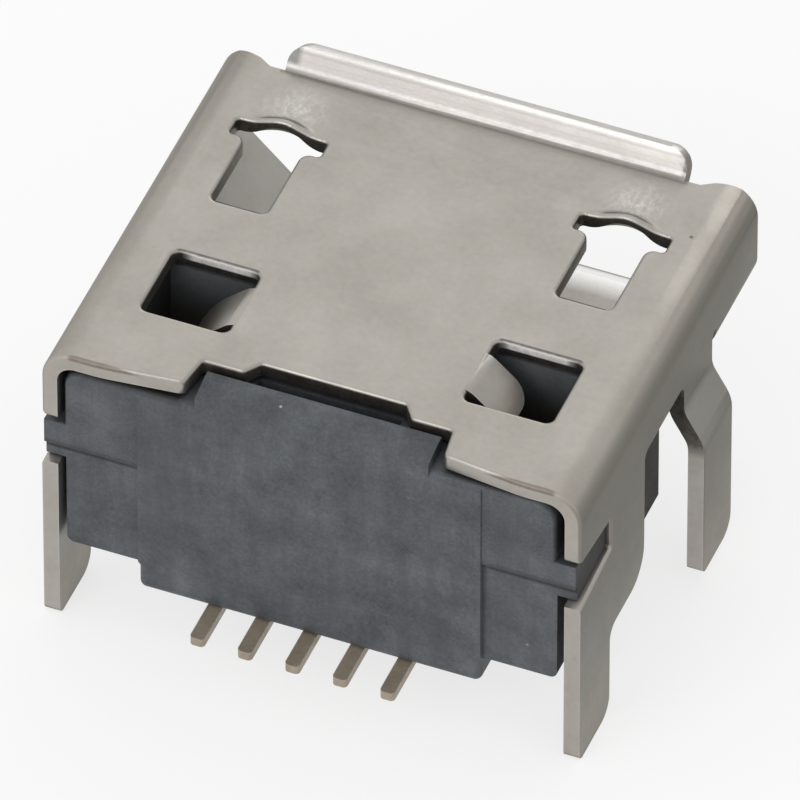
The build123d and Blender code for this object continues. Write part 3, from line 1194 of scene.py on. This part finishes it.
@dataclass(frozen=True)
class RolledEdge:
    """Small rounding of cut edges, made with modifiers."""

    width: float
    weld: float = 0.0002 * MM
    segments: int = 2
    sharper_than: float = math.radians(35.0)
    weight: int = 100

    def soften(self, piece: bpy.types.Object) -> None:
        """Add the rounding to a piece.

        Args:
            piece: the piece.
        """
        weld = piece.modifiers.new("weld", "WELD")
        weld.merge_threshold = self.weld
        bevel = piece.modifiers.new("rolled_edge", "BEVEL")
        bevel.width = self.width
        bevel.segments = self.segments
        bevel.limit_method = "ANGLE"
        bevel.angle_limit = self.sharper_than
        bevel.harden_normals = True
        even = piece.modifiers.new("even_faces", "WEIGHTED_NORMAL")
        even.mode = "FACE_AREA"
        even.weight = self.weight


def dress(piece: bpy.types.Object, material: bpy.types.Material) -> None:
    """Give a piece one material in all its slots.

    Args:
        piece: the piece.
        material: its material.
    """
    if not piece.material_slots:
        piece.data.materials.append(material)
    for slot in piece.material_slots:
        slot.material = material


@dataclass
class Shell:
    """Folded sheet metal shell."""

    node: str = "shell"
    finish: SheetFinish = SheetFinish()
    edge: RolledEdge = RolledEdge(width=0.03 * MM)

    def build(self, kit: EffectKit) -> None:
        """Dress the shell's node.

        Args:
            kit: the shared effects.
        """
        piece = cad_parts[self.node]
        dress(piece, self.finish.build(kit))
        self.edge.soften(piece)
        log.info("%s: %s", self.node, self.finish.name)


@dataclass
class Housing:
    """Moulded housing with its tongue."""

    node: str = "housing"
    finish: MouldedFinish = MouldedFinish()
    edge: RolledEdge = RolledEdge(width=0.02 * MM)

    def build(self, kit: EffectKit) -> None:
        """Dress the housing's node.

        Args:
            kit: the shared effects.
        """
        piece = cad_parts[self.node]
        dress(piece, self.finish.build(kit))
        self.edge.soften(piece)
        log.info("%s: %s", self.node, self.finish.name)


@dataclass
class Contacts:
    """Five stamped contacts in a row."""

    prefix: str = "contact_"
    finish: TinFinish = TinFinish()

    def build(self, kit: EffectKit) -> None:
        """Dress every contact's node.

        Args:
            kit: the shared effects.
        """
        material = self.finish.build(kit)
        for name, piece in sorted(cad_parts.items()):
            if name.startswith(self.prefix):
                dress(piece, material)
                log.info("%s: %s", name, self.finish.name)


@dataclass(frozen=True)
class Softbox:
    """Square lamp that faces the socket."""

    name: str
    azimuth: float
    elevation: float
    size: float
    radiance: float
    distance: float = 0.30

    def build(self, target: Vector) -> None:
        """Add the lamp.

        Args:
            target: point that the lamp faces.
        """
        lamp = bpy.data.lights.new(self.name, "AREA")
        lamp.shape = "SQUARE"
        lamp.size = self.size
        lamp.energy = self.radiance * math.pi * self.size**2
        hang(self.name, lamp, towards(self.azimuth, self.elevation), self.distance, target)
        log.info("%s: radiance %.2f", self.name, self.radiance)


@dataclass
class Studio:
    """Pale floor, white surroundings and soft lamps.

    The floor on the socket's right and the world on that side are dimmer in reflections, as the dark half
    of a studio is.
    """

    floor_size: float = 2.0
    floor_colour: Colour = tone(0.97, 0.97, 0.97)
    dim_floor: Colour = tone(0.52, 0.51, 0.49)
    dim_from: float = 4.2 * MM
    dim_to: float = 5.2 * MM
    paper_glow: float = 0.72
    surround: Colour = tone(1.0, 1.0, 1.0)
    fill: float = 0.82
    mirrored: float = 0.95
    dim_side: float = 0.85
    dim_azimuth: float = 105.0
    dim_cosines: tuple[float, float] = (-0.1, 0.8)
    lamps: tuple[Softbox, ...] = (
        Softbox("lamp_rear", azimuth=-20.0, elevation=34.0, size=0.16, radiance=2.0),
        Softbox("lamp_top", azimuth=197.0, elevation=60.0, size=0.24, radiance=0.22),
        Softbox("lamp_mouth", azimuth=180.0, elevation=16.0, size=0.14, radiance=1.0),
    )

    def _paper(self) -> bpy.types.Material:
        """Floor's material: white to the camera and in reflections, clear from below.

        Returns:
            The material.
        """
        material = bpy.data.materials.new("floor_paper")
        material.use_nodes = True
        material.node_tree.nodes.clear()
        wires = Wiring(material.node_tree)
        path = wires.add("ShaderNodeLightPath").outputs
        spot = wires.add("ShaderNodeNewGeometry").outputs
        dimmed = wires.span(wires.parts(spot["Position"])["X"], self.dim_from, self.dim_to)
        dimmed = wires.times(dimmed, path["Is Glossy Ray"])
        paper = wires.add("ShaderNodeBsdfDiffuse")
        wires.join(wires.blend(dimmed, self.floor_colour, self.dim_floor), paper.inputs["Color"])
        seen = wires.maths("ADD", path["Is Camera Ray"], path["Is Transmission Ray"], clamp=True)
        reflected = wires.maths("SUBTRACT", path["Is Glossy Ray"], dimmed, clamp=True)
        seen = wires.maths("ADD", seen, reflected, clamp=True)
        lit = wires.add("ShaderNodeMixShader")
        wires.join(wires.times(seen, self.paper_glow), lit.inputs["Fac"])
        wires.join(paper.outputs["BSDF"], lit.inputs[1])
        wires.join(wires.add("ShaderNodeEmission").outputs["Emission"], lit.inputs[2])
        sided = wires.add("ShaderNodeMixShader")
        wires.join(spot["Backfacing"], sided.inputs["Fac"])
        wires.join(lit.outputs["Shader"], sided.inputs[1])
        wires.join(wires.add("ShaderNodeBsdfTransparent").outputs["BSDF"], sided.inputs[2])
        output = wires.add("ShaderNodeOutputMaterial")
        wires.join(sided.outputs["Shader"], output.inputs["Surface"])
        return material

    def _floor(self, level: float) -> None:
        """Add the floor.

        Args:
            level: its height.
        """
        half = self.floor_size / 2
        corners = [(-half, -half, level), (half, -half, level), (half, half, level), (-half, half, level)]
        mesh = bpy.data.meshes.new("floor")
        mesh.from_pydata(corners, [], [(0, 1, 2, 3)])
        mesh.materials.append(self._paper())
        floor = bpy.data.objects.new("floor", mesh)
        bpy.context.scene.collection.objects.link(floor)

    def _surround(self) -> None:
        """Make the world white where it is seen, and a plain fill where it lights."""
        world = bpy.data.worlds.new("surround")
        bpy.context.scene.world = world
        world.use_nodes = True
        world.node_tree.nodes.clear()
        wires = Wiring(world.node_tree)
        path = wires.add("ShaderNodeLightPath").outputs
        seen = wires.maths("ADD", path["Is Camera Ray"], path["Is Transmission Ray"], clamp=True)
        ray = wires.add("ShaderNodeTexCoord").outputs["Generated"]
        aside = wires.dot(ray, towards(self.dim_azimuth, 0.0))
        shade = wires.span(aside, *self.dim_cosines, to_low=1.0, to_high=self.dim_side)
        light = wires.times(wires.span(path["Is Glossy Ray"], 0.0, 1.0, self.fill, self.mirrored), shade)
        back = wires.add("ShaderNodeBackground")
        back.inputs["Color"].default_value = self.surround
        wires.join(wires.span(seen, 0.0, 1.0, to_low=light), back.inputs["Strength"])
        output = wires.add("ShaderNodeOutputWorld")
        wires.join(back.outputs["Background"], output.inputs["Surface"])

    def build(self, level: float, target: Vector) -> None:
        """Build the studio.

        Args:
            level: height of the floor.
            target: point that the lamps face.
        """
        self._floor(level)
        self._surround()
        for lamp in self.lamps:
            lamp.build(target)


@dataclass(frozen=True)
class Viewpoint:
    """Camera at the photograph's viewing angle; its lens counts in millimetres."""

    azimuth: float = 21.959
    elevation: float = 44.065
    distance: float = 301.2 * MM
    target_mm: Triple = (0.152, 2.649, 2.005)
    lens: float = 1066.9
    sensor: float = 36.0
    nearest: float = 0.01
    farthest: float = 10.0

    def target(self) -> Vector:
        """Point in the middle of the picture."""
        return Vector(self.target_mm) * MM

    def build(self) -> None:
        """Add the camera and make it the scene's own."""
        lens = bpy.data.cameras.new("camera")
        lens.lens = self.lens
        lens.sensor_width = self.sensor
        lens.clip_start = self.nearest
        lens.clip_end = self.farthest
        away = towards(self.azimuth, self.elevation)
        bpy.context.scene.camera = hang("camera", lens, away, self.distance, self.target())


def main() -> None:
    """Build the scene, piece by piece."""
    logging.basicConfig(level=logging.INFO, format="%(name)s: %(message)s")
    bpy.context.scene.view_settings.view_transform = "Standard"
    viewpoint = Viewpoint()
    viewpoint.build()
    Studio().build(cad_box[0].z, viewpoint.target())
    kit = EffectKit()
    for assembly in (Shell(), Housing(), Contacts()):
        assembly.build(kit)


if __name__ == "__main__":
    main()
